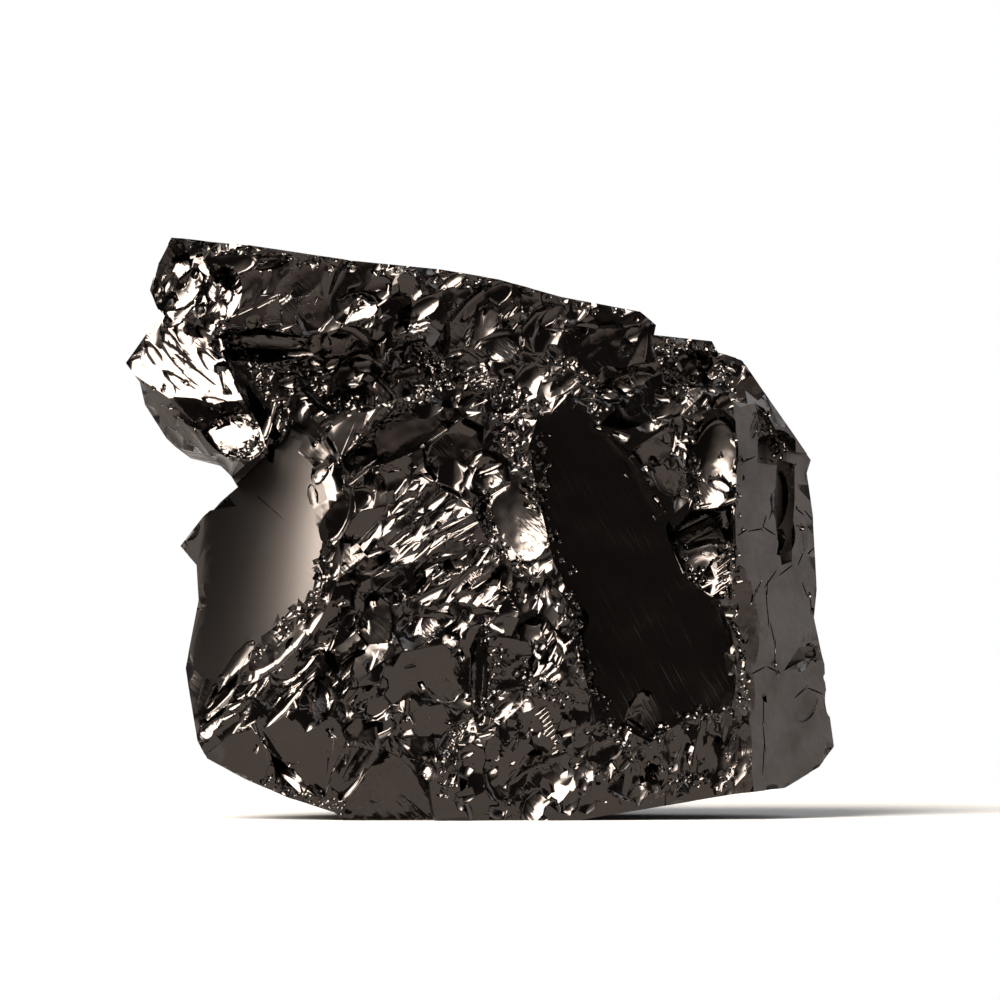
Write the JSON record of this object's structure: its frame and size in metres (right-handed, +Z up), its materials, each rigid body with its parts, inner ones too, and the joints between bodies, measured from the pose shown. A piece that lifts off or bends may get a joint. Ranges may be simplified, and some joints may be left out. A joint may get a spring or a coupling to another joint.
{
  "type": "noble shungite lump",
  "caption": "Rough lump of glassy black shungite with conchoidal fracture faces, splintered ledges and a flat foot that it rests on.",
  "frame": {"origin": "middle of the lump's width and depth, on the surface that it rests on", "axes": "+Z up, +X along the lump's long side, to the right seen from its splintered front, which faces -Y"},
  "size_m": [0.071, 0.0376, 0.0581],
  "materials": {
    "shungite": "near-black natural carbon with a glassy, almost metallic lustre on fresh fractures and a duller sheen on worn ones"
  },
  "bodies": {
    "root": {"shungite": "shungite"}
  },
  "joints": []
}
